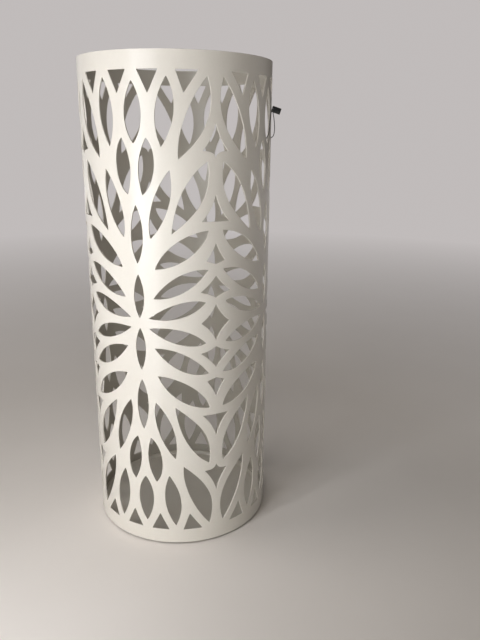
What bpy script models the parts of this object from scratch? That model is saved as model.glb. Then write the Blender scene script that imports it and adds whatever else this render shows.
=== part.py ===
"""Pierced metal umbrella stand: a rolled and laser-cut sleeve over a pan base with a lift-out drip tray.

Metres, +Z up, origin on the floor at the centre of the sleeve.  The sleeve's pattern has four equal cells
round the tube, whose upright axes lie on -Y, +X, +Y and -X.  Every cell is the same in all four quarters.
"""
import math
from collections import namedtuple

import bmesh
import bpy
from mathutils import Matrix, Vector
from mathutils.geometry import delaunay_2d_cdt

MM = 0.001
GAP = 0.3 * MM

# Sleeve
SLEEVE_RADIUS = 97.5 * MM
SLEEVE_HEIGHT = 495.0 * MM
SLEEVE_SHEET = 1.5 * MM
SLEEVE_BOTTOM = 2.0 * MM
CELLS = 4
FACETS = 48
LONGEST_CUT = 15.0 * MM

# Base pan
BASE_RADIUS = SLEEVE_RADIUS - SLEEVE_SHEET - GAP
BASE_SHEET = 1.5 * MM
BASE_UNDERSIDE = 3.6 * MM
BASE_FLANGE_TOP = 9.0 * MM

# Drip tray
TRAY_SHEET = 0.9 * MM
TRAY_RADIUS = BASE_RADIUS - BASE_SHEET - 1.0 * MM
TRAY_LIP_WIDTH = 1.6 * MM
TRAY_UNDERSIDE = BASE_UNDERSIDE + BASE_SHEET + GAP
TRAY_TOP = 10.0 * MM

# Feet
FEET = 4
FOOT_RADIUS = 7.0 * MM
FOOT_CHAMFER = 1.2 * MM
FOOT_CIRCLE = 84.0 * MM
FOOT_HEIGHT = BASE_UNDERSIDE - GAP
FOOT_SEGMENTS = 20

# Tag
TAG_LOOP_DIAMETER = 0.8 * MM
TAG_SEAL_SIZE = (9.4 * MM, 2.4 * MM, 6.2 * MM)
TAG_SEAL_RADIUS = 102.6 * MM
TAG_SEAL_ALONG = 34.0 * MM
TAG_SEAL_HEIGHT = 451.6 * MM
TAG_SEAL_TILT = math.radians(18)
TAG_SEAL_BEVEL = 0.5 * MM
TAG_AXIS = math.radians(90)

FOLD = 2 * math.pi / FACETS
HALF_CELL = math.pi * SLEEVE_RADIUS / CELLS
HALF_HEIGHT = SLEEVE_HEIGHT / 2
CELL_EDGE = HALF_CELL / MM

# The cut pattern, in millimetres, for one quarter of a cell: across from the cell's upright axis, and up
# from the sleeve's mid-height.  A Curve joins two points: bulge is its greatest height over the straight
# line between them, to the left of the way it runs, and lean_start and lean_end are where its two handles
# stand along that line.
Curve = namedtuple("Curve", "bulge lean_start lean_end")
STRAIGHT = Curve(0.0, 1 / 3, 2 / 3)

# Whole leaves: inner tip, outer tip, the side nearer the axis, the side nearer the cell's edge.
LEAVES = [
    ((7.4, 123.3), (12.2, 174.2), Curve(5.7, 0.36, 0.66), Curve(9.2, 0.20, 0.80)),
    ((26.1, 166.0), (32.0, 226.0), Curve(7.8, 0.31, 0.67), Curve(8.8, 0.35, 0.72)),
    ((41.3, 155.4), (68.6, 226.6), Curve(6.9, 0.25, 0.66), Curve(13.3, 0.40, 0.72)),
    ((14.2, 83.3), (33.2, 146.2), Curve(7.2, 0.20, 0.68), Curve(8.0, 0.32, 0.70)),
    ((34.0, 88.0), (68.6, 153.6), Curve(8.5, 0.38, 0.75), Curve(11.9, 0.45, 0.72)),
    ((17.2, 54.2), (69.3, 90.8), Curve(8.8, 0.28, 0.70), Curve(9.5, 0.30, 0.80)),
    ((14.9, 25.1), (68.8, 53.0), Curve(8.7, 0.35, 0.75), Curve(7.6, 0.28, 0.66)),
    ((9.7, 5.1), (66.0, 21.0), Curve(7.0, 0.36, 0.80), Curve(7.4, 0.36, 0.75)),
]

# Leaves that stand on the cell's axis: lower tip, upper tip and half-width curve.
AXIS_LEAVES = [
    (5.0, 48.8, Curve(5.3, 0.27, 0.70)),
    (58.9, 114.2, Curve(6.1, 0.25, 0.72)),
    (168.8, 222.3, Curve(8.4, 0.25, 0.68)),
]

# Stars on the cell's edge: inner tip, side point as (half-width, height), outer tip, and the curves of the
# lower and the upper side.
EDGE_STARS = [
    (25.0, (16.0, 31.3), 47.2, Curve(0.9, 1 / 3, 2 / 3), Curve(1.1, 1 / 3, 2 / 3)),
    (58.3, (9.8, 61.7), 78.8, STRAIGHT, Curve(0.8, 1 / 3, 2 / 3)),
    (98.9, (14.4, 98.9), 123.6, STRAIGHT, Curve(2.0, 1 / 3, 2 / 3)),
    (156.0, (13.0, 162.8), 187.8, Curve(3.1, 0.20, 0.50), Curve(1.8, 1 / 3, 2 / 3)),
]
CENTRE_STAR = (15.6, 18.7, Curve(1.8, 1 / 3, 2 / 3))

# Triangles under the plain band: point, then the two ends of the flat side.
BAND_TRIANGLES = [
    ((15.1, 211.6), (24.7, 231.4), (5.5, 231.4)),
    ((47.0, 211.8), (60.4, 231.4), (39.9, 231.4)),
]

# The tag loop's route round the rib beside a top leaf on the +X cell: distance from the tube's axis,
# distance along the sleeve from the cell's axis, and height, in millimetres.
TAG_ROUTE = [
    (99.4, 33.6, 448.4),
    (100.3, 33.6, 444.0),
    (101.0, 33.4, 438.0),
    (101.2, 32.6, 432.0),
    (99.8, 29.4, 426.2),
    (96.5, 26.4, 424.0),
    (94.5, 22.4, 424.0),
    (94.6, 15.0, 424.0),
    (94.6, 8.0, 423.9),
    (94.4, 3.6, 423.9),
    (96.4, 0.8, 424.4),
    (98.2, 0.5, 427.0),
    (98.6, 1.6, 431.0),
    (98.7, 3.0, 436.5),
    (98.7, 4.8, 442.5),
    (98.8, 8.0, 448.0),
    (98.9, 13.0, 451.4),
    (99.0, 19.0, 452.8),
    (99.1, 25.0, 453.0),
    (99.4, 29.6, 452.8),
    (99.8, 32.4, 452.4),
]


def clear_scene():
    """Remove every object that the file opens with."""
    for item in list(bpy.data.objects):
        bpy.data.objects.remove(item, do_unlink=True)


def make_material(name, colour, roughness, metallic=0.0):
    """A plain surface for one kind of piece."""
    material = bpy.data.materials.new(name)
    material.use_nodes = True
    shader = material.node_tree.nodes["Principled BSDF"]
    shader.inputs["Base Color"].default_value = (*colour, 1.0)
    shader.inputs["Roughness"].default_value = roughness
    shader.inputs["Metallic"].default_value = metallic
    return material


def add_object(name, mesh, material, sharp_angle=math.radians(30)):
    """Put a mesh in the scene as one named, smoothly shaded piece."""
    mesh.materials.append(material)
    mesh.shade_smooth()
    mesh.set_sharp_from_angle(angle=sharp_angle)
    item = bpy.data.objects.new(name, mesh)
    bpy.context.scene.collection.objects.link(item)
    return item


def mesh_from_bmesh(name, bm):
    """Turn a bmesh into mesh data with its faces pointing out."""
    bmesh.ops.recalc_face_normals(bm, faces=bm.faces)
    mesh = bpy.data.meshes.new(name)
    bm.to_mesh(mesh)
    bm.free()
    return mesh


def curve_point(start, end, curve, t):
    """The point at t, 0 to 1, on a pattern curve from start to end, in millimetres."""
    way = end - start
    left = Vector((-way.y, way.x)).normalized()
    rest = 1 - t
    along = 3 * rest * rest * t * curve.lean_start + 3 * rest * t * t * curve.lean_end + t ** 3
    return start + way * along + left * (4 * rest * t * curve.bulge)


def fold_crossing(start, end, curve, low, high, across):
    """Where, between two values of t, a pattern curve crosses the upright line at across."""
    rising = curve_point(start, end, curve, high).x > across
    for _ in range(40):
        middle = (low + high) / 2
        if (curve_point(start, end, curve, middle).x > across) == rising:
            high = middle
        else:
            low = middle
    return middle


def run_curve(start, end, curve):
    """Points from start up to but not including end: on every fold it crosses, and close enough between."""
    start = Vector(start)
    end = Vector(end)
    fold = FOLD * SLEEVE_RADIUS / MM
    steps = 60
    stops = [0.0]
    for k in range(steps):
        low = k / steps
        high = (k + 1) / steps
        first = curve_point(start, end, curve, low).x / fold
        last = curve_point(start, end, curve, high).x / fold
        for number in range(math.ceil(min(first, last)), math.floor(max(first, last)) + 1):
            if abs(first - number) > 1e-6 and abs(last - number) > 1e-6:
                stops.append(fold_crossing(start, end, curve, low, high, number * fold))
    stops.append(1.0)
    points = []
    for low, high in zip(stops, stops[1:]):
        span = curve_point(start, end, curve, high) - curve_point(start, end, curve, low)
        pieces = math.ceil(span.length * MM / LONGEST_CUT)
        for k in range(pieces):
            points.append(curve_point(start, end, curve, low + (high - low) * k / pieces))
    return points


def closed_outline(corners, curves):
    """A loop of points through the corners, anticlockwise, each side bending by its curve."""
    outline = []
    for k, curve in enumerate(curves):
        outline += run_curve(corners[k], corners[(k + 1) % len(corners)], curve)
    return outline


def to_right(curve):
    """The curve bulging to the right of its way instead of the left."""
    return Curve(-curve.bulge, curve.lean_start, curve.lean_end)


def from_end(curve):
    """The curve with its two handles measured from its other end, and its bulge to the left as before."""
    return Curve(curve.bulge, 1 - curve.lean_end, 1 - curve.lean_start)


def quarter_outlines():
    """Every cut-out of one quarter cell, each an anticlockwise loop, halved where it lies on an axis."""
    outlines = []
    for inner, outer, axis_side, edge_side in LEAVES:
        outlines.append(closed_outline([inner, outer], [to_right(edge_side), to_right(from_end(axis_side))]))
    for low, high, side in AXIS_LEAVES:
        outlines.append(closed_outline([(0.0, low), (0.0, high)], [to_right(side), STRAIGHT]))
    for inner, (half_width, height), outer, lower, upper in EDGE_STARS:
        point = (CELL_EDGE - half_width, height)
        corners = [(CELL_EDGE, inner), (CELL_EDGE, outer), point]
        outlines.append(closed_outline(corners, [STRAIGHT, upper, from_end(lower)]))
    half_width, half_height, side = CENTRE_STAR
    corners = [(CELL_EDGE - half_width, 0.0), (CELL_EDGE, 0.0), (CELL_EDGE, half_height)]
    outlines.append(closed_outline(corners, [STRAIGHT, STRAIGHT, side]))
    for corners in BAND_TRIANGLES:
        outlines.append(closed_outline(corners, [STRAIGHT] * 3))
    return outlines


def quarter_sheet():
    """Triangles of one flat quarter cell with its cut-outs left out: points in millimetres, and faces."""
    points = []
    cuts = []
    for outline in quarter_outlines():
        first = len(points)
        points += [Vector(point) for point in outline]
        cuts.append(list(range(first, len(points))))
    folds = []
    top = HALF_HEIGHT / MM
    columns = FACETS // (2 * CELLS)
    for k in range(columns + 1):
        across = CELL_EDGE * k / columns
        folds.append((len(points), len(points) + 1))
        points += [Vector((across, 0.0)), Vector((across, top))]
    for level in (0.0, top):
        folds.append((len(points), len(points) + 1))
        points += [Vector((0.0, level)), Vector((CELL_EDGE, level))]
    flat, _, faces, _, _, inside = delaunay_2d_cdt(points, folds, cuts, 0, 1e-5)
    kept = [face for face, cut in zip(faces, inside) if not cut]
    return flat, kept


def on_sleeve(angle, height):
    """A point of the faceted sleeve's outer face, at an angle from -Y towards +X."""
    facet = math.floor(angle / FOLD + 1e-7)
    share = angle / FOLD - facet
    ends = [Vector((math.sin(a), -math.cos(a))) * SLEEVE_RADIUS for a in (facet * FOLD, (facet + 1) * FOLD)]
    place = ends[0].lerp(ends[1], share)
    return Vector((place.x, place.y, height))


def make_sleeve(material):
    """The rolled sleeve: a flat cut quarter cell, mirrored and repeated sixteen times round the tube."""
    flat, faces = quarter_sheet()
    middle = SLEEVE_BOTTOM + HALF_HEIGHT
    bm = bmesh.new()
    for cell in range(CELLS):
        axis = 2 * math.pi * cell / CELLS
        for sideways in (1, -1):
            for upright in (1, -1):
                corners = []
                for point in flat:
                    angle = axis + sideways * point.x * MM / SLEEVE_RADIUS
                    corners.append(bm.verts.new(on_sleeve(angle, middle + upright * point.y * MM)))
                for face in faces:
                    ring = [corners[k] for k in face]
                    if sideways * upright < 0:
                        ring.reverse()
                    bm.faces.new(ring)
    bmesh.ops.delete(bm, geom=[v for v in bm.verts if not v.link_faces], context="VERTS")
    bmesh.ops.remove_doubles(bm, verts=bm.verts, dist=0.005 * MM)
    mesh = mesh_from_bmesh("sleeve", bm)
    sleeve = add_object("sleeve", mesh, material)
    sheet = sleeve.modifiers.new("sheet", "SOLIDIFY")
    sheet.thickness = SLEEVE_SHEET
    sheet.offset = -1.0
    sheet.use_even_offset = True
    return sleeve


def turn(name, profile, material, segments):
    """Turn a closed profile of (radius, height) points, which starts and ends on the axis."""
    bm = bmesh.new()
    ring = [bm.verts.new((radius, 0.0, height)) for radius, height in profile]
    edges = [bm.edges.new(pair) for pair in zip(ring, ring[1:])]
    bmesh.ops.spin(bm, geom=ring + edges, cent=(0, 0, 0), axis=(0, 0, 1), angle=2 * math.pi,
                   steps=segments, use_merge=True)
    bmesh.ops.remove_doubles(bm, verts=bm.verts, dist=0.01 * MM)
    return add_object(name, mesh_from_bmesh(name, bm), material)


def make_base_plate(material):
    """The pressed pan, welded inside the sleeve's foot, with its rim turned up."""
    top = BASE_UNDERSIDE + BASE_SHEET
    bend = BASE_SHEET
    profile = [
        (0.0, BASE_UNDERSIDE),
        (BASE_RADIUS - bend, BASE_UNDERSIDE),
        (BASE_RADIUS, BASE_UNDERSIDE + bend),
        (BASE_RADIUS, BASE_FLANGE_TOP),
        (BASE_RADIUS - BASE_SHEET, BASE_FLANGE_TOP),
        (BASE_RADIUS - BASE_SHEET, top + bend / 2),
        (BASE_RADIUS - BASE_SHEET - bend / 2, top),
        (0.0, top),
    ]
    return turn("base_plate", profile, material, FACETS)


def make_drip_tray(material):
    """The shallow lift-out tray, with a flared wall and a flat lip."""
    floor_top = TRAY_UNDERSIDE + TRAY_SHEET
    lip_inside = TRAY_RADIUS - TRAY_LIP_WIDTH
    floor_radius = lip_inside - 1.5 * MM
    profile = [
        (0.0, TRAY_UNDERSIDE),
        (floor_radius, TRAY_UNDERSIDE),
        (floor_radius + 1.3 * MM, TRAY_UNDERSIDE + 1.0 * MM),
        (lip_inside + 0.6 * MM, TRAY_TOP - TRAY_SHEET),
        (TRAY_RADIUS, TRAY_TOP - TRAY_SHEET),
        (TRAY_RADIUS, TRAY_TOP),
        (lip_inside, TRAY_TOP),
        (floor_radius + 0.4 * MM, floor_top + 0.8 * MM),
        (floor_radius - 0.6 * MM, floor_top),
        (0.0, floor_top),
    ]
    return turn("drip_tray", profile, material, FACETS)


def make_feet(material):
    """Rubber pads stuck under the base pan, between the cells."""
    profile = [
        (0.0, 0.0),
        (FOOT_RADIUS - FOOT_CHAMFER, 0.0),
        (FOOT_RADIUS, FOOT_CHAMFER),
        (FOOT_RADIUS, FOOT_HEIGHT),
        (0.0, FOOT_HEIGHT),
    ]
    for k in range(FEET):
        angle = math.radians(45) + 2 * math.pi * k / FEET
        foot = turn(f"foot_{k + 1}", profile, material, FOOT_SEGMENTS)
        foot.location = (FOOT_CIRCLE * math.sin(angle), -FOOT_CIRCLE * math.cos(angle), 0.0)


def tag_place(radius, along, height):
    """A point beside the +X cell, from its distance from the axis, along the sleeve, and its height."""
    angle = TAG_AXIS + along / SLEEVE_RADIUS
    return Vector((radius * math.sin(angle), -radius * math.cos(angle), height))


def smooth_route(knots, spacing):
    """Even points on a smooth curve through the knots."""
    padded = [knots[0] * 2 - knots[1], *knots, knots[-1] * 2 - knots[-2]]
    dense = []
    for before, start, end, after in zip(padded, padded[1:], padded[2:], padded[3:]):
        for k in range(20):
            t = k / 20
            dense.append(0.5 * (2 * start + (end - before) * t
                                + (2 * before - 5 * start + 4 * end - after) * t ** 2
                                + (3 * start - before - 3 * end + after) * t ** 3))
    dense.append(knots[-1])
    length = sum((b - a).length for a, b in zip(dense, dense[1:]))
    count = round(length / spacing)
    points = [dense[0]]
    travelled = 0.0
    for a, b in zip(dense, dense[1:]):
        step = (b - a).length
        while len(points) < count and travelled + step >= len(points) * length / count:
            points.append(a.lerp(b, (len(points) * length / count - travelled) / step))
        travelled += step
    points.append(dense[-1])
    return points


def make_tag_loop(material):
    """The thin plastic loop that holds the tag's seal on the sleeve."""
    knots = [tag_place(radius * MM, along * MM, height * MM) for radius, along, height in TAG_ROUTE]
    points = smooth_route(knots, 2.4 * TAG_LOOP_DIAMETER)
    curve = bpy.data.curves.new("tag_loop", "CURVE")
    curve.dimensions = "3D"
    curve.bevel_depth = TAG_LOOP_DIAMETER / 2
    curve.bevel_resolution = 2
    curve.use_fill_caps = True
    spline = curve.splines.new("POLY")
    spline.points.add(len(points) - 1)
    for place, point in zip(spline.points, points):
        place.co = (*point, 1.0)
    curve.materials.append(material)
    loop = bpy.data.objects.new("tag_loop", curve)
    bpy.context.scene.collection.objects.link(loop)


def make_tag_seal(material):
    """The small plain block that closes the loop, leaning down as it stands out from the sleeve."""
    bm = bmesh.new()
    bmesh.ops.create_cube(bm, size=1.0, matrix=Matrix.Diagonal((*TAG_SEAL_SIZE, 1.0)))
    bmesh.ops.bevel(bm, geom=bm.edges[:], offset=TAG_SEAL_BEVEL, segments=1, affect="EDGES")
    seal = add_object("tag_seal", mesh_from_bmesh("tag_seal", bm), material)
    angle = TAG_AXIS + TAG_SEAL_ALONG / SLEEVE_RADIUS - math.pi / 2
    seal.location = tag_place(TAG_SEAL_RADIUS, TAG_SEAL_ALONG, TAG_SEAL_HEIGHT)
    seal.rotation_euler = (Matrix.Rotation(angle, 3, "Z") @ Matrix.Rotation(TAG_SEAL_TILT, 3, "Y")).to_euler()


def main():
    """Build every piece of the stand."""
    clear_scene()
    paint = make_material("cream_paint", (0.80, 0.77, 0.70), 0.38)
    tray_paint = make_material("tray_paint", (0.66, 0.62, 0.55), 0.42)
    rubber = make_material("foot_rubber", (0.03, 0.03, 0.03), 0.80)
    seal_plastic = make_material("seal_plastic", (0.015, 0.015, 0.017), 0.45)
    loop_plastic = make_material("loop_plastic", (0.02, 0.02, 0.022), 0.40)
    make_sleeve(paint)
    make_base_plate(paint)
    make_drip_tray(tray_paint)
    make_feet(rubber)
    make_tag_loop(loop_plastic)
    make_tag_seal(seal_plastic)


main()
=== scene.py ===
"""Visual model of a pierced metal umbrella stand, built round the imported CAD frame.

Everything is in metres in the CAD's own frame: +Z up, origin on the floor at the centre of the sleeve.
The cut pattern has four equal cells round the tube, whose upright axes lie on -Y, +X, +Y and -X.
"""
import math
from collections import namedtuple

import bmesh
import bpy
from mathutils import Euler, Matrix, Vector
from mathutils.geometry import delaunay_2d_cdt
from mathutils.kdtree import KDTree


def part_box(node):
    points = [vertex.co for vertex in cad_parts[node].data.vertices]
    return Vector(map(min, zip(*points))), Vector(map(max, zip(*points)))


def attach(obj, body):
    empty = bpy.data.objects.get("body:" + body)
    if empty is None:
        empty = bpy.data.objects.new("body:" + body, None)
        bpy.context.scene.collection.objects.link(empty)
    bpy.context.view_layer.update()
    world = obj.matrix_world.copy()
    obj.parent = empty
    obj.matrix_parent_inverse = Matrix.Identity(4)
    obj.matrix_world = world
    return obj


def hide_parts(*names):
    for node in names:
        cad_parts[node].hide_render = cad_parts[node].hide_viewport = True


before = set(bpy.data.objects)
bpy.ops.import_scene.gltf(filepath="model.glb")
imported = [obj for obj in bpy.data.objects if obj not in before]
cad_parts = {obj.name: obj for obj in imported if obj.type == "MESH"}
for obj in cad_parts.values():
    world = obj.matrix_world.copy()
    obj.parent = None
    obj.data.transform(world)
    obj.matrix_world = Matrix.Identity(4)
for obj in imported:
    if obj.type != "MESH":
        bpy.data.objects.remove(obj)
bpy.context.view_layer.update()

MM = 0.001

# Places taken from the CAD frame
SLEEVE_LOW, SLEEVE_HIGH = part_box("sleeve")
BASE_LOW, BASE_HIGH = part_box("base_plate")
TRAY_LOW, TRAY_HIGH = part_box("drip_tray")
SLEEVE_RADIUS = SLEEVE_HIGH.x
SLEEVE_MIDDLE = (SLEEVE_LOW.z + SLEEVE_HIGH.z) / 2
HALF_HEIGHT = (SLEEVE_HIGH.z - SLEEVE_LOW.z) / 2
CELLS = 4
CELL_EDGE = math.pi * SLEEVE_RADIUS / CELLS / MM
TOP = HALF_HEIGHT / MM

# Surroundings: the backdrop's colour, the light that it gives, and the floor, which fades into the
# backdrop between two distances from the stand
SURROUNDINGS = (0.53, 0.50, 0.495)
AMBIENT_COLOUR = (0.52, 0.50, 0.48)
AMBIENT_STRENGTH = 0.05
FLOOR_DARKER = (0.90, 0.85, 0.80)
FLOOR_LIGHTER = (0.93, 0.88, 0.83)
FLOOR_FADE = (0.4, 2.2)
FLOOR_REACH = 6.0

# Paint: colours, and how much darker the inside of the tube is painted than the outside, which is painted
# shade.
# Each roughness varies by PAINT_VARIATION either way.
SLEEVE_COLOUR = (0.83, 0.785, 0.715)
BASE_COLOUR = (0.82, 0.775, 0.705)
# Painted shade: the tray's colour is darkened below the cream coat to stand in for the shade inside the
# tube.
TRAY_COLOUR_WITH_PAINTED_SHADE = (0.66, 0.62, 0.55)
INNER_PAINTED_SHADE = (0.66, 0.655, 0.635)
PAINT_ROUGHNESS = 0.25
TRAY_ROUGHNESS = 0.36
PAINT_VARIATION = 0.02
GRAIN_COLOUR = (0.55, 0.50, 0.43)
SPECK_COLOUR = (0.40, 0.33, 0.26)
WORN_COLOUR = (0.50, 0.46, 0.41)

# Lights: side in degrees from the camera's own side, counted to the right, then metres and watts
Light = namedtuple("Light", "name side distance height width tall aim watts colour")
LIGHTS = [
    Light("window_left", -40, 0.45, 0.31, 0.10, 0.60, 0.26, 0.40, (0.98, 0.97, 1.0)),
    Light("window_right", -28, 0.45, 0.31, 0.10, 0.60, 0.26, 0.62, (0.94, 0.96, 1.0)),
    Light("glint", -42, 0.45, 0.38, 0.05, 0.36, 0.37, 0.30, (0.95, 0.97, 1.0)),
    Light("sky", -90, 1.0, 2.0, 0.70, 0.70, 0.0, 6.5, (1.0, 0.95, 0.92)),
    Light("ceiling", -10, 1.0, 2.0, 0.70, 0.70, 0.0, 5.0, (1.0, 0.92, 0.84)),
    Light("table_glow", -24, 1.5, 0.20, 1.60, 0.30, 0.10, 3.9, (0.95, 1.0, 0.92)),
    Light("right_fill", 110, 3.0, 1.20, 1.75, 2.50, 0.25, 3.4, (1.0, 1.0, 1.0)),
    Light("back_fill_1", 175, 3.0, 1.20, 1.75, 2.50, 0.25, 9.0, (1.0, 0.99, 0.98)),
    Light("back_fill_2", -145, 3.0, 1.20, 1.75, 2.50, 0.25, 8.0, (1.0, 0.99, 0.98)),
]

# Camera: metres, radians and millimetres of lens and sensor
CAMERA_DISTANCE = 0.6694
CAMERA_HEIGHT = 0.4259
CAMERA_AROUND = math.radians(24.0)
CAMERA_TURN = 0.1008
CAMERA_PITCH = 0.2917
CAMERA_ROLL = 0.0105
CAMERA_LENS = 34.49
CAMERA_SENSOR = 36.0
CAMERA_NEAR = 0.01

# The cut pattern, in millimetres, for one quarter of a cell: across from the cell's upright axis, and up
# from the sleeve's mid-height.  A Curve joins two points: bulge is its greatest height over the straight
# line between them, to the left of the way it runs, and lean_start and lean_end are where its two handles
# stand along that line.
Curve = namedtuple("Curve", "bulge lean_start lean_end")
STRAIGHT = Curve(0.0, 1 / 3, 2 / 3)

# Whole leaves: inner tip, outer tip, the side nearer the axis, the side nearer the cell's edge.
LEAVES = [
    ((7.4, 123.3), (12.2, 174.2), Curve(5.7, 0.36, 0.66), Curve(9.2, 0.20, 0.80)),
    ((26.1, 166.0), (32.0, 226.0), Curve(7.8, 0.31, 0.67), Curve(8.8, 0.35, 0.72)),
    ((41.3, 155.4), (68.6, 226.6), Curve(6.9, 0.25, 0.66), Curve(13.3, 0.40, 0.72)),
    ((14.2, 83.3), (33.2, 146.2), Curve(7.2, 0.20, 0.68), Curve(8.0, 0.32, 0.70)),
    ((34.0, 88.0), (68.6, 153.6), Curve(8.5, 0.38, 0.75), Curve(11.9, 0.45, 0.72)),
    ((17.2, 54.2), (69.3, 90.8), Curve(8.8, 0.28, 0.70), Curve(9.5, 0.30, 0.80)),
    ((14.9, 25.1), (68.8, 53.0), Curve(8.7, 0.35, 0.75), Curve(7.6, 0.28, 0.66)),
    ((9.7, 5.1), (66.0, 21.0), Curve(7.0, 0.36, 0.80), Curve(7.4, 0.36, 0.75)),
]

# Leaves that stand on the cell's axis: lower tip, upper tip and half-width curve.
AXIS_LEAVES = [
    (5.0, 48.8, Curve(5.3, 0.27, 0.70)),
    (58.9, 114.2, Curve(6.1, 0.25, 0.72)),
    (168.8, 222.3, Curve(8.4, 0.25, 0.68)),
]

# Stars on the cell's edge: inner tip, side point as (half-width, height), outer tip, and the curves of the
# lower and the upper side.
EDGE_STARS = [
    (25.0, (16.0, 31.3), 47.2, Curve(0.9, 1 / 3, 2 / 3), Curve(1.1, 1 / 3, 2 / 3)),
    (58.3, (9.8, 61.7), 78.8, STRAIGHT, Curve(0.8, 1 / 3, 2 / 3)),
    (98.9, (14.4, 98.9), 123.6, STRAIGHT, Curve(2.0, 1 / 3, 2 / 3)),
    (156.0, (13.0, 162.8), 187.8, Curve(3.1, 0.20, 0.50), Curve(1.8, 1 / 3, 2 / 3)),
]
CENTRE_STAR = (15.6, 18.7, Curve(1.8, 1 / 3, 2 / 3))

# Triangles under the plain band: point, then the two ends of the flat side.
BAND_TRIANGLES = [
    ((15.1, 211.6), (24.7, 231.4), (5.5, 231.4)),
    ((47.0, 211.8), (60.4, 231.4), (39.9, 231.4)),
]

# Cut edges and mesh, in millimetres: the sheet's thickness, how much of a side a rounded corner takes and
# in how many steps, the spacing of points along a cut and over the face, and how clear of the cuts the
# face's and the border's own points stay
SHEET = 1.5
CORNER_CUT = 0.9
CORNER_STEPS = 3
CURVE_STEP = 2.5
CURVE_SAMPLES = 400
GRID = 4.6
GRID_CLEARANCE = 1.4
BORDER_CLEARANCE = 0.8
EDGE_ROUND = 0.28
WELD_TOLERANCE = 1e-4
# Rings that carry the surface through a cut: how far into the metal from the cut, and how deep, with the
# share of the normal that points out of the face and the share that points into the cut.
SLANT = EDGE_ROUND * (1 - math.sqrt(0.5))
RINGS = [
    (EDGE_ROUND, 0.0, 1.0, 0.0),
    (SLANT, SLANT, 0.7071, 0.7071),
    (0.0, EDGE_ROUND, 0.0, 1.0),
    (0.0, SHEET - EDGE_ROUND, 0.0, 1.0),
    (SLANT, SHEET - SLANT, -0.7071, 0.7071),
    (EDGE_ROUND, SHEET, -1.0, 0.0),
]

# Turned pieces
BASE_SHEET = 1.5 * MM
TRAY_SHEET = 0.9 * MM
PAN_STEPS = 144
FOOT_STEPS = 64
BEND_STEPS = 4
SHARP_FROM = math.radians(35)

# Tag
TAG_LOOP_DIAMETER = 0.8 * MM
TAG_LOOP_SPACING = 0.9 * MM
TAG_SEAL_SIZE = (9.4 * MM, 2.4 * MM, 6.2 * MM)
TAG_SEAL_RADIUS = 102.6 * MM
TAG_SEAL_ALONG = 34.0 * MM
TAG_SEAL_HEIGHT = 451.6 * MM
TAG_SEAL_TILT = math.radians(18)
TAG_SEAL_ROUND = 0.55 * MM
TAG_AXIS = math.radians(90)
# The tag loop's route round the rib beside a top leaf on the +X cell: distance from the tube's axis,
# distance along the sleeve from the cell's axis, and height, in millimetres.
TAG_ROUTE = [
    (99.3, 33.7, 450.8),
    (99.4, 33.6, 448.4),
    (100.3, 33.6, 444.0),
    (101.0, 33.4, 438.0),
    (101.2, 32.6, 432.0),
    (99.8, 29.4, 426.2),
    (96.5, 26.4, 424.0),
    (94.5, 22.4, 424.0),
    (94.6, 15.0, 424.0),
    (94.6, 8.0, 423.9),
    (94.4, 3.6, 423.9),
    (96.4, 0.8, 424.4),
    (98.2, 0.5, 427.0),
    (98.6, 1.6, 431.0),
    (98.7, 3.0, 436.5),
    (98.7, 4.8, 442.5),
    (98.8, 8.0, 448.0),
    (98.9, 13.0, 451.4),
    (99.0, 19.0, 452.8),
    (99.1, 25.0, 453.0),
    (99.4, 29.6, 452.8),
    (99.8, 32.4, 452.4),
    (99.8, 33.4, 452.5),
]


# ---------------------------------------------------------------- camera

def make_camera():
    """Camera at the height, distance and side from which the stand is seen."""
    camera = bpy.data.objects.new("camera", bpy.data.cameras.new("camera"))
    bpy.context.scene.collection.objects.link(camera)
    camera.data.lens = CAMERA_LENS
    camera.data.sensor_width = CAMERA_SENSOR
    camera.data.clip_start = CAMERA_NEAR
    camera.location = (CAMERA_DISTANCE * math.sin(CAMERA_AROUND),
                       -CAMERA_DISTANCE * math.cos(CAMERA_AROUND), CAMERA_HEIGHT)
    heading = Euler((math.pi / 2 - CAMERA_PITCH, 0.0, CAMERA_AROUND - CAMERA_TURN)).to_matrix()
    camera.rotation_euler = (heading @ Matrix.Rotation(CAMERA_ROLL, 3, "Z")).to_euler()
    bpy.context.scene.camera = camera


# ---------------------------------------------------------------- materials

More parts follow.
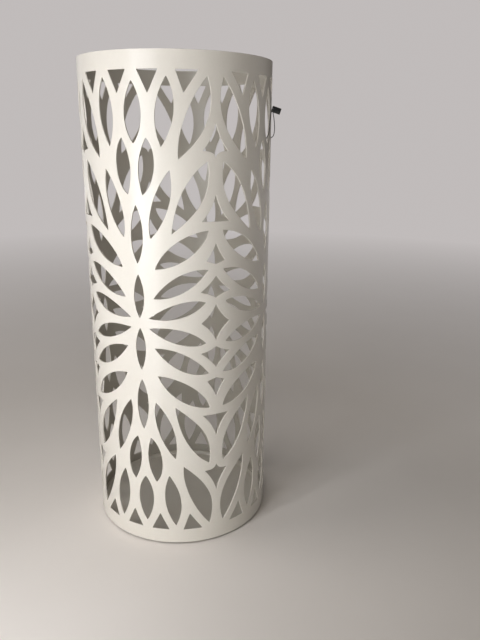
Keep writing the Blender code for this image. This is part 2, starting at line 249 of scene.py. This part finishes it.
class Nodes:
    """A small helper that adds nodes to one material and links them."""

    def __init__(self, name):
        self.material = bpy.data.materials.new(name)
        self.material.use_nodes = True
        self.tree = self.material.node_tree
        self.shader = self.tree.nodes["Principled BSDF"]

    def add(self, kind, inputs=None, **settings):
        """One node with its settings; inputs maps a socket to a number or to another node's output."""
        node = self.tree.nodes.new(kind)
        for key, value in settings.items():
            setattr(node, key, value)
        for key, value in (inputs or {}).items():
            self.set(node, key, value)
        return node

    def set(self, node, key, value):
        """Give one input a number or a link."""
        if isinstance(value, bpy.types.NodeSocket):
            self.tree.links.new(value, node.inputs[key])
        else:
            node.inputs[key].default_value = value

    def product(self, first, second):
        """Two numbers multiplied."""
        return self.add("ShaderNodeMath", {0: first, 1: second}, operation="MULTIPLY").outputs[0]

    def place(self):
        """The place on the object, in its own coordinates."""
        return self.add("ShaderNodeTexCoord").outputs["Object"]

    def noise(self, scale, detail, roughness=0.5):
        """Noise in the object's own coordinates, at so many waves to the metre."""
        node = self.add("ShaderNodeTexNoise", {"Vector": self.place(), "Scale": scale, "Detail": detail,
                                               "Roughness": roughness})
        return node.outputs["Fac"]

    def ramp(self, factor, low, high, out_low=0.0, out_high=1.0):
        """The factor stretched from one range on to another, clamped."""
        node = self.add("ShaderNodeMapRange", {0: factor, 1: low, 2: high, 3: out_low, 4: out_high})
        return node.outputs[0]

    def blend(self, factor, first, second):
        """Mix two colours."""
        node = self.add("ShaderNodeMix", data_type="RGBA")
        self.set(node, 0, factor)
        self.set(node, 6, first)
        self.set(node, 7, second)
        return node.outputs[2]

    def attribute(self, name):
        """A number stored on the mesh."""
        return self.add("ShaderNodeAttribute", attribute_name=name).outputs["Fac"]

    def bump(self, height, strength, distance, normal=None):
        """A bump whose height runs from 0 to distance."""
        node = self.add("ShaderNodeBump", {"Height": height, "Strength": strength, "Distance": distance})
        if normal is not None:
            self.set(node, "Normal", normal)
        return node.outputs[0]


def rgba(red, green, blue):
    """An opaque colour."""
    return (red, green, blue, 1.0)


def powder_coat(name, colour, edge_attribute, roughness=PAINT_ROUGHNESS):
    """Satin powder coat: fine orange peel, faint cloudiness, a few specks, thinner paint on edges, and
    painted shade inside the tube.
    """
    n = Nodes(name)
    cloud = n.noise(14.0, 3.0, 0.55)
    grain = n.noise(420.0, 2.0, 0.6)
    base = n.blend(n.ramp(cloud, 0.3, 0.7), rgba(*[c * 0.992 for c in colour]), rgba(*colour))
    base = n.blend(n.ramp(grain, 0.35, 0.75, 0.0, 0.05), base, rgba(*GRAIN_COLOUR))
    speck = n.add("ShaderNodeTexVoronoi", {"Vector": n.place(), "Scale": 75.0}, feature="F1")
    dots = n.ramp(speck.outputs["Distance"], 0.012, 0.03, 0.35, 0.0)
    rare = n.ramp(n.noise(31.0, 1.0), 0.60, 0.66)
    base = n.blend(n.product(dots, rare), base, rgba(*SPECK_COLOUR))
    if edge_attribute:
        # Painted shade: the inside of the tube gets a darker copy of the paint colour.
        inside = rgba(*[c * share for c, share in zip(colour, INNER_PAINTED_SHADE)])
        base = n.blend(n.attribute("inner_face"), base, inside)
        worn = n.product(n.attribute("cut_edge"), n.ramp(n.noise(160.0, 3.0, 0.65), 0.50, 0.72))
        base = n.blend(n.product(worn, 0.30), base, rgba(*WORN_COLOUR))
    n.set(n.shader, "Base Color", base)
    rough = n.ramp(n.noise(90.0, 3.0), 0.25, 0.75, roughness - PAINT_VARIATION, roughness + PAINT_VARIATION)
    n.set(n.shader, "Roughness", rough)
    sag = n.bump(n.noise(120.0, 2.0), 0.12, 0.00008)
    n.set(n.shader, "Normal", n.bump(n.noise(700.0, 1.0, 0.4), 0.35, 0.00004, sag))
    return n.material


def black_rubber():
    """Moulded rubber: matte, slightly dusty."""
    n = Nodes("foot_rubber")
    dust = n.ramp(n.noise(260.0, 4.0, 0.65), 0.48, 0.75)
    n.set(n.shader, "Base Color", n.blend(n.product(dust, 0.5), rgba(0.022, 0.022, 0.023),
                                         rgba(0.10, 0.095, 0.085)))
    n.set(n.shader, "Roughness", n.ramp(n.noise(180.0, 3.0), 0.3, 0.7, 0.68, 0.86))
    n.set(n.shader, "Normal", n.bump(n.noise(2200.0, 2.0), 0.3, 0.00006))
    return n.material


def black_plastic(name, roughness, scale):
    """Moulded black nylon with a faint grain."""
    n = Nodes(name)
    tone = n.ramp(n.noise(scale * 0.3, 2.0), 0.3, 0.7)
    n.set(n.shader, "Base Color", n.blend(tone, rgba(0.010, 0.010, 0.012), rgba(0.020, 0.020, 0.022)))
    n.set(n.shader, "Roughness", n.ramp(n.noise(scale, 2.0), 0.3, 0.7, roughness - 0.07, roughness + 0.07))
    n.set(n.shader, "Normal", n.bump(n.noise(scale * 4, 2.0), 0.25, 0.00003))
    return n.material


def pale_floor():
    """Plain matt floor, very slightly mottled, that turns into the pale surroundings far away."""
    n = Nodes("floor")
    cloud = n.ramp(n.noise(5.0, 3.0), 0.3, 0.7)
    n.set(n.shader, "Base Color", n.blend(cloud, rgba(*FLOOR_DARKER), rgba(*FLOOR_LIGHTER)))
    n.shader.inputs["Roughness"].default_value = 0.85
    away = n.add("ShaderNodeVectorMath", {0: n.place()}, operation="LENGTH").outputs["Value"]
    glow = n.add("ShaderNodeEmission", {"Color": rgba(*SURROUNDINGS), "Strength": 1.0})
    mix = n.add("ShaderNodeMixShader", {0: n.ramp(away, *FLOOR_FADE)})
    n.tree.links.new(n.shader.outputs[0], mix.inputs[1])
    n.tree.links.new(glow.outputs[0], mix.inputs[2])
    n.tree.links.new(mix.outputs[0], n.tree.nodes["Material Output"].inputs[0])
    return n.material


# ---------------------------------------------------------------- the cut pattern

def curve_point(start, end, curve, t):
    """The point at t, 0 to 1, on a pattern curve from start to end, in millimetres."""
    way = end - start
    left = Vector((-way.y, way.x)).normalized()
    rest = 1 - t
    along = 3 * rest * rest * t * curve.lean_start + 3 * rest * t * t * curve.lean_end + t ** 3
    return start + way * along + left * (4 * rest * t * curve.bulge)


def trimmed_curve(start, end, curve):
    """Even points on a pattern curve, without the part that the rounded corners at its ends take."""
    fine = [curve_point(start, end, curve, k / CURVE_SAMPLES) for k in range(CURVE_SAMPLES + 1)]
    length = [0.0]
    for a, b in zip(fine, fine[1:]):
        length.append(length[-1] + (b - a).length)
    low = CORNER_CUT
    high = length[-1] - CORNER_CUT
    count = max(2, math.ceil((high - low) / CURVE_STEP))
    points = []
    position = 0
    for k in range(count + 1):
        wanted = low + (high - low) * k / count
        while length[position + 1] < wanted:
            position += 1
        share = (wanted - length[position]) / (length[position + 1] - length[position])
        points.append(fine[position].lerp(fine[position + 1], share))
    return points


def rounded_loop(corners, curves):
    """An anticlockwise loop with rounded corners: its points, and where the middle of each corner comes."""
    corners = [Vector(corner) for corner in corners]
    count = len(corners)
    sides = [trimmed_curve(corners[k], corners[(k + 1) % count], curves[k]) for k in range(count)]
    points = []
    middles = []
    for k in range(count):
        before = sides[k - 1][-1]
        after = sides[k][0]
        for step in range(1, 2 * CORNER_STEPS):
            t = step / (2 * CORNER_STEPS)
            if step == CORNER_STEPS:
                middles.append(len(points))
            points.append(before * (1 - t) ** 2 + corners[k] * (2 * t * (1 - t)) + after * t ** 2)
        points += sides[k]
    return points, middles


def with_normals(points):
    """Each point of a closed anticlockwise loop with the direction that leads from it into the metal."""
    made = []
    for k, point in enumerate(points):
        way = (points[(k + 1) % len(points)] - points[k - 1]).normalized()
        made.append((point, Vector((way.y, -way.x))))
    return made


def part_of_loop(points, middles, first, last):
    """The stretch of a loop between the middles of two corners."""
    loop = with_normals(points)
    start = middles[first]
    end = middles[last]
    if end <= start:
        end += len(points)
    return [loop[k % len(points)] for k in range(start, end + 1)]


def snapped(chain, across=None, level=None):
    """A chain whose ends lie exactly on the lines it is mirrored in."""
    for index, line in ((0, across), (-1, across)) if level is None else ((0, across), (-1, level)):
        point, normal = chain[index]
        if level is not None and index == -1:
            chain[index] = (Vector((point.x, line)), Vector((math.copysign(1.0, normal.x), 0.0)))
        else:
            chain[index] = (Vector((line, point.y)), Vector((0.0, math.copysign(1.0, normal.y))))
    return chain


def to_right(curve):
    """The curve bulging to the right of its way instead of the left."""
    return Curve(-curve.bulge, curve.lean_start, curve.lean_end)


def from_end(curve):
    """The curve with its two handles measured from its other end, and its bulge to the left as before."""
    return Curve(curve.bulge, 1 - curve.lean_end, 1 - curve.lean_start)


def quarter_chains():
    """Every cut of one quarter cell as (chain, closing points): the cut lies to the left of the chain."""
    chains = []
    for inner, outer, axis_side, edge_side in LEAVES:
        points, _ = rounded_loop([inner, outer], [to_right(edge_side), to_right(from_end(axis_side))])
        chains.append((with_normals(points), None))
    for corners in BAND_TRIANGLES:
        points, _ = rounded_loop(corners, [STRAIGHT] * 3)
        chains.append((with_normals(points), None))
    for low, high, side in AXIS_LEAVES:
        points, middles = rounded_loop([(0.0, low), (0.0, high)], [to_right(side), to_right(from_end(side))])
        chains.append((snapped(part_of_loop(points, middles, 0, 1), across=0.0), []))
    for inner, (half_width, height), outer, lower, upper in EDGE_STARS:
        corners = [(CELL_EDGE, inner), (CELL_EDGE + half_width, height), (CELL_EDGE, outer),
                   (CELL_EDGE - half_width, height)]
        curves = [lower, from_end(upper), upper, from_end(lower)]
        points, middles = rounded_loop(corners, curves)
        chains.append((snapped(part_of_loop(points, middles, 2, 0), across=CELL_EDGE), []))
    half_width, half_height, side = CENTRE_STAR
    corners = [(CELL_EDGE, half_height), (CELL_EDGE - half_width, 0.0), (CELL_EDGE, -half_height),
               (CELL_EDGE + half_width, 0.0)]
    curves = [from_end(side), side, from_end(side), side]
    points, middles = rounded_loop(corners, curves)
    chain = snapped(part_of_loop(points, middles, 0, 1), across=CELL_EDGE, level=0.0)
    chains.append((chain, [Vector((CELL_EDGE, 0.0))]))
    return chains


def even_line(start, end, count):
    """Points from start to end, both included."""
    return [start.lerp(end, k / count) for k in range(count + 1)]


def grid_points(outline):
    """Inner points of the quarter's face in a triangular grid, clear of every cut and of the borders."""
    tree = KDTree(len(outline))
    for k, point in enumerate(outline):
        tree.insert((point.x, point.y, 0.0), k)
    tree.balance()
    columns = round(CELL_EDGE / GRID)
    rows = round(TOP / (GRID * 0.87))
    found = []
    for row in range(1, rows):
        level = (TOP - EDGE_ROUND) * row / rows
        shift = 0.5 * (row % 2)
        for column in range(columns + 1):
            across = CELL_EDGE * (column + shift) / columns
            if across > CELL_EDGE - GRID * 0.3 or across < GRID * 0.3:
                continue
            if tree.find((across, level, 0.0))[2] > GRID_CLEARANCE:
                found.append(Vector((across, level)))
    return found


def border_points(taken, columns):
    """Points down the cell's axis, along its middle and up its edge, clear of the cuts that open there."""
    level = TOP - EDGE_ROUND
    rows = round(level / GRID)
    border = even_line(Vector((0.0, level)), Vector((0.0, 0.0)), rows)
    border += even_line(Vector((0.0, 0.0)), Vector((CELL_EDGE, 0.0)), columns)[1:]
    border += even_line(Vector((CELL_EDGE, 0.0)), Vector((CELL_EDGE, level)), rows)[1:]
    corners = (0, rows, rows + columns, 2 * rows + columns)
    return [point for k, point in enumerate(border)
            if k in corners or min((point - other).length for other in taken) > BORDER_CLEARANCE]


def quarter_mesh():
    """One quarter cell of the sleeve: its vertices, and faces as lists of vertex numbers.

    A vertex is (across, up, depth, normal's share across, its share up, its share out, on a cut edge).
    """
    chains = quarter_chains()
    columns = round(CELL_EDGE / GRID)
    rim_line = even_line(Vector((0.0, TOP)), Vector((CELL_EDGE, TOP)), columns)
    rim = [(point, Vector((0.0, -1.0))) for point in rim_line]
    points = []
    cuts = []
    runs = []
    taken = []
    for chain, closing in chains:
        first = len(points)
        outline = [point + into * EDGE_ROUND for point, into in chain]
        runs.append((first, chain, closing is None))
        taken += outline
        points += outline + (closing or [])
        cuts.append(list(range(first, len(points))))
    first = len(points)
    outline_rim = [point + into * EDGE_ROUND for point, into in rim]
    runs.append((first, rim, False))
    points += outline_rim
    edges = [(first + k, first + k + 1) for k in range(len(rim) - 1)]
    border = border_points(taken, columns)
    first = len(points)
    points += border
    edges += [(first + k, first + k + 1) for k in range(len(border) - 1)]
    points += grid_points(taken + outline_rim)
    flat, _, faces, origins, _, inside = delaunay_2d_cdt(points, edges, cuts, 0, 1e-6)
    place = {old: new for new, index in enumerate(origins) for old in index}
    kept = [list(face) for face, cut in zip(faces, inside) if not cut]
    for face in kept:
        a, b, c = (flat[k] for k in face[:3])
        if (b - a).cross(c - a) < 0:
            face.reverse()
    vertices = []
    shape = []
    for outward, depth in ((1.0, 0.0), (-1.0, SHEET)):
        offset = len(vertices)
        for point in flat:
            vertices.append((point.x, point.y, depth, 0.0, 0.0, outward, 0.0))
        for face in kept:
            shape.append([offset + k for k in (face if outward > 0 else reversed(face))])
    for first, chain, closed in runs:
        count = len(chain)
        rings = [[place[first + k] for k in range(count)]]
        for into_metal, depth, out, into_cut in RINGS[1:-1]:
            ring = []
            for point, into in chain:
                spot = point + into * into_metal
                ring.append(len(vertices))
                vertices.append((spot.x, spot.y, depth, -into.x * into_cut, -into.y * into_cut, out, 1.0))
            rings.append(ring)
        rings.append([len(flat) + place[first + k] for k in range(count)])
        for outer, inner in zip(rings, rings[1:]):
            for k in range(count if closed else count - 1):
                following = (k + 1) % count
                shape.append([outer[k], outer[following], inner[following], inner[k]])
    return vertices, shape


def make_sleeve(material):
    """The rolled sleeve: sixteen mirrored quarters joined where their borders meet."""
    vertices, shape = quarter_mesh()
    known = {}
    places = []
    normals = []
    edge_marks = []
    inner_marks = []
    faces = []
    for cell in range(CELLS):
        axis = 2 * math.pi * cell / CELLS
        for sideways in (1, -1):
            for upright in (1, -1):
                numbers = []
                for k, (across, up, depth, turn, lift, out, mark) in enumerate(vertices):
                    side = (cell, sideways)
                    if across < WELD_TOLERANCE:
                        side = ("axis", cell)
                    elif across > CELL_EDGE - WELD_TOLERANCE:
                        side = ("edge", cell if sideways > 0 else (cell - 1) % CELLS)
                    key = (k, side, 0 if up < WELD_TOLERANCE else upright)
                    if key not in known:
                        known[key] = len(places)
                        angle = axis + sideways * across * MM / SLEEVE_RADIUS
                        radius = SLEEVE_RADIUS - depth * MM
                        radial = Vector((math.sin(angle), -math.cos(angle), 0.0))
                        tangent = Vector((math.cos(angle), math.sin(angle), 0.0))
                        places.append(radial * radius + Vector((0, 0, SLEEVE_MIDDLE + upright * up * MM)))
                        normal = radial * out + tangent * (sideways * turn) + Vector((0, 0, upright * lift))
                        normals.append(normal.normalized())
                        edge_marks.append(mark)
                        inner_marks.append(depth / SHEET)
                    numbers.append(known[key])
                for face in shape:
                    ring = [numbers[k] for k in face]
                    if sideways * upright < 0:
                        ring.reverse()
                    faces.append(ring)
    used = sorted({k for face in faces for k in face})
    renumber = {old: new for new, old in enumerate(used)}
    mesh = bpy.data.meshes.new("sleeve_shell")
    mesh.from_pydata([places[k] for k in used], [], [[renumber[k] for k in face] for face in faces])
    mesh.shade_smooth()
    for name, marks in (("cut_edge", edge_marks), ("inner_face", inner_marks)):
        mesh.attributes.new(name, "FLOAT", "POINT").data.foreach_set("value", [marks[k] for k in used])
    mesh.normals_split_custom_set_from_vertices([normals[k] for k in used])
    return add_piece("sleeve_shell", mesh, material, "stand", "sleeve_paint", "sleeve")


# ---------------------------------------------------------------- pieces

def add_piece(name, mesh, material, body, slot, *replaced):
    """Put a mesh in the scene as a piece that rides on a body and stands for CAD nodes."""
    mesh.materials.append(material)
    item = bpy.data.objects.new(name, mesh)
    bpy.context.scene.collection.objects.link(item)
    return declare(item, body, slot, *replaced)


def declare(item, body, slot, *replaced):
    """Tell the frame what a piece rides on and what it stands for; the slot, its finish, is not used."""
    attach(item, body)
    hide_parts(*replaced)
    return item


def rounded_profile(corners):
    """A profile with each corner (radius, height, rounding) turned into an arc-like bend."""
    points = []
    for k, (x, y, bend) in enumerate(corners):
        here = Vector((x, y))
        if bend <= 0 or k in (0, len(corners) - 1):
            points.append(here)
            continue
        before = here + (Vector(corners[k - 1][:2]) - here).normalized() * bend
        after = here + (Vector(corners[k + 1][:2]) - here).normalized() * bend
        for step in range(BEND_STEPS + 1):
            t = step / BEND_STEPS
            points.append(before * (1 - t) ** 2 + here * (2 * t * (1 - t)) + after * t ** 2)
    return points


def lathe(name, profile, segments):
    """A closed solid turned from a profile that starts and ends on the axis."""
    bm = bmesh.new()
    chain = [bm.verts.new((point.x, 0.0, point.y)) for point in profile]
    edges = [bm.edges.new(pair) for pair in zip(chain, chain[1:])]
    bmesh.ops.spin(bm, geom=chain + edges, cent=(0, 0, 0), axis=(0, 0, 1), angle=2 * math.pi,
                   steps=segments, use_merge=True)
    bmesh.ops.remove_doubles(bm, verts=bm.verts, dist=0.002 * MM)
    bmesh.ops.recalc_face_normals(bm, faces=bm.faces)
    mesh = bpy.data.meshes.new(name)
    bm.to_mesh(mesh)
    bm.free()
    mesh.shade_smooth()
    mesh.set_sharp_from_angle(angle=SHARP_FROM)
    return mesh


def make_base_pan(material):
    """The pressed pan, softly bent where its floor turns up into the wall."""
    radius = BASE_HIGH.x
    low = BASE_LOW.z
    high = BASE_HIGH.z
    corners = [
        (0.0, low, 0),
        (radius, low, 1.4 * MM),
        (radius, high, 0.35 * MM),
        (radius - BASE_SHEET, high, 0.35 * MM),
        (radius - BASE_SHEET, low + BASE_SHEET, 0.8 * MM),
        (0.0, low + BASE_SHEET, 0),
    ]
    mesh = lathe("base_pan", rounded_profile(corners), PAN_STEPS)
    return add_piece("base_pan", mesh, material, "stand", "base_paint", "base_plate")


def make_tray(material):
    """The lift-out drip tray: shallow dished floor, flared wall and rolled lip."""
    radius = TRAY_HIGH.x
    low = TRAY_LOW.z
    high = TRAY_HIGH.z
    lip_inside = radius - 1.6 * MM
    floor_radius = lip_inside - 1.5 * MM
    corners = [
        (0.0, low, 0),
        (floor_radius + 0.3 * MM, low, 0.7 * MM),
        (lip_inside + 0.5 * MM, high - TRAY_SHEET, 0.3 * MM),
        (radius, high - TRAY_SHEET, 0.4 * MM),
        (radius, high, 0.4 * MM),
        (lip_inside, high, 0.5 * MM),
        (floor_radius - 0.2 * MM, low + TRAY_SHEET, 0.6 * MM),
        (0.0, low + TRAY_SHEET, 0),
    ]
    mesh = lathe("tray_dish", rounded_profile(corners), PAN_STEPS)
    return add_piece("tray_dish", mesh, material, "tray", "tray_paint", "drip_tray")


def make_feet(material):
    """Rubber pads with a rounded edge, a shallow groove in the side and rings under the sole."""
    for number in (1, 2, 3, 4):
        name = f"foot_{number}"
        low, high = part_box(name)
        radius = (high.x - low.x) / 2
        top = high.z
        corners = [
            (0.0, 0.35 * MM, 0),
            (1.8 * MM, 0.35 * MM, 0.12 * MM),
            (2.1 * MM, 0.0, 0.12 * MM),
            (3.3 * MM, 0.0, 0.12 * MM),
            (3.6 * MM, 0.35 * MM, 0.12 * MM),
            (4.4 * MM, 0.35 * MM, 0.12 * MM),
            (4.7 * MM, 0.0, 0.12 * MM),
            (radius - 0.2 * MM, 0.0, 0.9 * MM),
            (radius - 0.1 * MM, 1.7 * MM, 0.15 * MM),
            (radius - 0.45 * MM, 1.95 * MM, 0.12 * MM),
            (radius - 0.45 * MM, 2.15 * MM, 0.12 * MM),
            (radius, 2.4 * MM, 0.15 * MM),
            (radius, top, 0.2 * MM),
            (0.0, top, 0),
        ]
        mesh = lathe(f"rubber_{name}", rounded_profile(corners), FOOT_STEPS)
        mesh.transform(Matrix.Translation(((low.x + high.x) / 2, (low.y + high.y) / 2, 0.0)))
        add_piece(f"rubber_{name}", mesh, material, "stand", "foot_rubber", name)


def tag_place(radius, along, height):
    """A point beside the +X cell, from its distance from the axis, along the sleeve, and its height."""
    angle = TAG_AXIS + along / SLEEVE_RADIUS
    return Vector((radius * math.sin(angle), -radius * math.cos(angle), height))


def smooth_route(knots, spacing):
    """Even points on a smooth curve through the knots."""
    padded = [knots[0] * 2 - knots[1], *knots, knots[-1] * 2 - knots[-2]]
    dense = []
    for before, start, end, after in zip(padded, padded[1:], padded[2:], padded[3:]):
        for k in range(20):
            t = k / 20
            dense.append(0.5 * (2 * start + (end - before) * t
                                + (2 * before - 5 * start + 4 * end - after) * t ** 2
                                + (3 * start - before - 3 * end + after) * t ** 3))
    dense.append(knots[-1])
    length = sum((b - a).length for a, b in zip(dense, dense[1:]))
    count = round(length / spacing)
    points = [dense[0]]
    travelled = 0.0
    for a, b in zip(dense, dense[1:]):
        step = (b - a).length
        while len(points) < count and travelled + step >= len(points) * length / count:
            points.append(a.lerp(b, (len(points) * length / count - travelled) / step))
        travelled += step
    points.append(dense[-1])
    return points, length


def make_tag_seal(material):
    """The moulded block that closes the loop, rounded on every edge."""
    bm = bmesh.new()
    bmesh.ops.create_cube(bm, size=1.0, matrix=Matrix.Diagonal((*TAG_SEAL_SIZE, 1.0)))
    bmesh.ops.bevel(bm, geom=bm.edges[:], offset=TAG_SEAL_ROUND, segments=4, affect="EDGES", profile=0.5)
    bmesh.ops.recalc_face_normals(bm, faces=bm.faces)
    mesh = bpy.data.meshes.new("tag_seal_block")
    bm.to_mesh(mesh)
    bm.free()
    angle = TAG_AXIS + TAG_SEAL_ALONG / SLEEVE_RADIUS - math.pi / 2
    turned = Matrix.Rotation(angle, 4, "Z") @ Matrix.Rotation(TAG_SEAL_TILT, 4, "Y")
    mesh.transform(Matrix.Translation(tag_place(TAG_SEAL_RADIUS, TAG_SEAL_ALONG, TAG_SEAL_HEIGHT)) @ turned)
    mesh.shade_smooth()
    return add_piece("tag_seal_block", mesh, material, "stand", "seal_plastic", "tag_seal")


def make_tag_loop(material):
    """The thin stiff strand that runs from the seal round the rib and back."""
    knots = [tag_place(radius * MM, along * MM, height * MM) for radius, along, height in TAG_ROUTE]
    points, length = smooth_route(knots, TAG_LOOP_SPACING)
    curve = bpy.data.curves.new("tag_loop_strand", "CURVE")
    curve.dimensions = "3D"
    curve.bevel_depth = TAG_LOOP_DIAMETER / 2
    curve.bevel_resolution = 5
    curve.use_fill_caps = True
    spline = curve.splines.new("POLY")
    spline.points.add(len(points) - 1)
    for place, point in zip(spline.points, points):
        place.co = (*point, 1.0)
    spline.use_smooth = True
    curve.materials.append(material)
    loop = bpy.data.objects.new("tag_loop_strand", curve)
    bpy.context.scene.collection.objects.link(loop)
    declare(loop, "stand", "loop_plastic", "tag_loop")


# ---------------------------------------------------------------- light and surroundings

def make_floor():
    """A wide pale floor."""
    bm = bmesh.new()
    bmesh.ops.create_grid(bm, x_segments=24, y_segments=24, size=FLOOR_REACH)
    mesh = bpy.data.meshes.new("floor")
    bm.to_mesh(mesh)
    bm.free()
    mesh.materials.append(pale_floor())
    floor = bpy.data.objects.new("floor", mesh)
    bpy.context.scene.collection.objects.link(floor)


def make_light(light):
    """One soft rectangular light, turned towards the tube's axis at its aim height."""
    lamp = bpy.data.lights.new(light.name, "AREA")
    lamp.shape = "RECTANGLE"
    lamp.size = light.width
    lamp.size_y = light.tall
    lamp.energy = light.watts
    lamp.color = light.colour
    item = bpy.data.objects.new(light.name, lamp)
    bpy.context.scene.collection.objects.link(item)
    angle = CAMERA_AROUND + math.radians(light.side)
    item.location = (light.distance * math.sin(angle), -light.distance * math.cos(angle), light.height)
    item.rotation_euler = (Vector((0, 0, light.aim)) - item.location).to_track_quat("-Z", "Y").to_euler()
    item.visible_camera = False


def make_world():
    """Pale grey surroundings, dimmer as light than as backdrop."""
    world = bpy.data.worlds.new("studio")
    world.use_nodes = True
    tree = world.node_tree
    back = tree.nodes["Background"]
    back.inputs[0].default_value = rgba(*SURROUNDINGS)
    back.inputs[1].default_value = 1.0
    dim = tree.nodes.new("ShaderNodeBackground")
    dim.inputs[0].default_value = rgba(*AMBIENT_COLOUR)
    dim.inputs[1].default_value = AMBIENT_STRENGTH
    path = tree.nodes.new("ShaderNodeLightPath")
    mix = tree.nodes.new("ShaderNodeMixShader")
    tree.links.new(path.outputs["Is Camera Ray"], mix.inputs[0])
    tree.links.new(dim.outputs[0], mix.inputs[1])
    tree.links.new(back.outputs[0], mix.inputs[2])
    tree.links.new(mix.outputs[0], tree.nodes["World Output"].inputs[0])
    bpy.context.scene.world = world


def main():
    """Build the whole scene."""
    make_camera()
    seal = make_tag_seal(black_plastic("seal_plastic", 0.42, 900.0))
    make_tag_loop(black_plastic("loop_plastic", 0.36, 1500.0))
    make_sleeve(powder_coat("sleeve_paint", SLEEVE_COLOUR, True))
    make_base_pan(powder_coat("base_paint", BASE_COLOUR, False))
    make_tray(powder_coat("tray_paint", TRAY_COLOUR_WITH_PAINTED_SHADE, False, TRAY_ROUGHNESS))
    make_feet(black_rubber())
    make_floor()
    make_world()
    for light in LIGHTS:
        make_light(light)
    bpy.context.scene.view_settings.view_transform = "Standard"


main()
